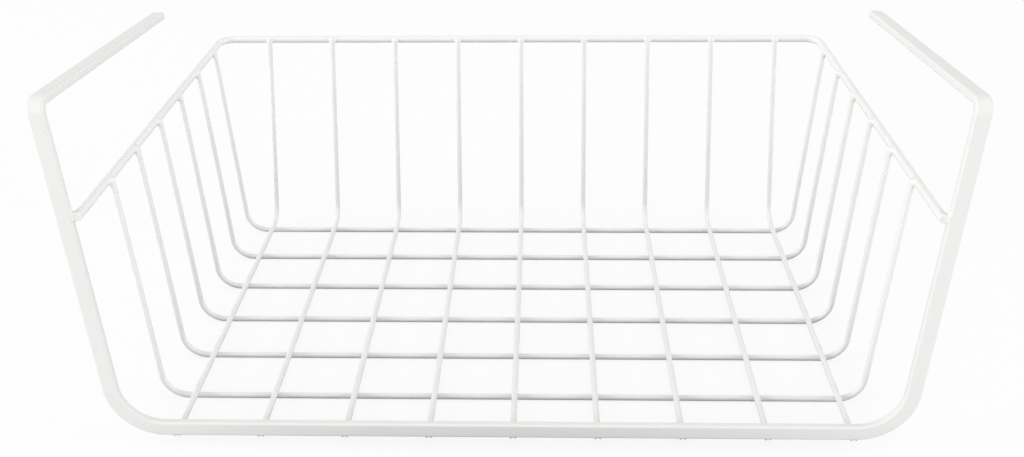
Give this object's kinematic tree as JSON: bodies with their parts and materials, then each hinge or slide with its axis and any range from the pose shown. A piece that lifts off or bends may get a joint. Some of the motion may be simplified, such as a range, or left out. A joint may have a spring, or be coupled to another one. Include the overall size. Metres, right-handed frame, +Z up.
{
  "type": "hanging storage basket",
  "caption": "Open-front white coated wire basket whose flat arms slide over a shelf board, so that it hangs below the shelf and holds small goods.",
  "frame": {"origin": "centre of the bounding box, on the plane that the cross wires stand on", "axes": "+X to the right as seen from the open front, +Y to the back wall, +Z up"},
  "size_m": [0.4048, 0.2608, 0.1783],
  "materials": {
    "frame_coating": "satin white coating on flat bar",
    "wire_coating": "satin white coating on round wire"
  },
  "bodies": {
    "root": {"front_frame": "frame_coating", "rim_wire": "wire_coating", "long_wire_1": "wire_coating", "long_wire_2": "wire_coating", "long_wire_3": "wire_coating", "long_wire_4": "wire_coating", "long_wire_5": "wire_coating", "long_wire_6": "wire_coating", "long_wire_7": "wire_coating", "long_wire_8": "wire_coating", "long_wire_9": "wire_coating", "cross_wire_1": "wire_coating", "cross_wire_2": "wire_coating", "cross_wire_3": "wire_coating", "cross_wire_4": "wire_coating", "cross_wire_5": "wire_coating", "cross_wire_6": "wire_coating"}
  },
  "joints": []
}
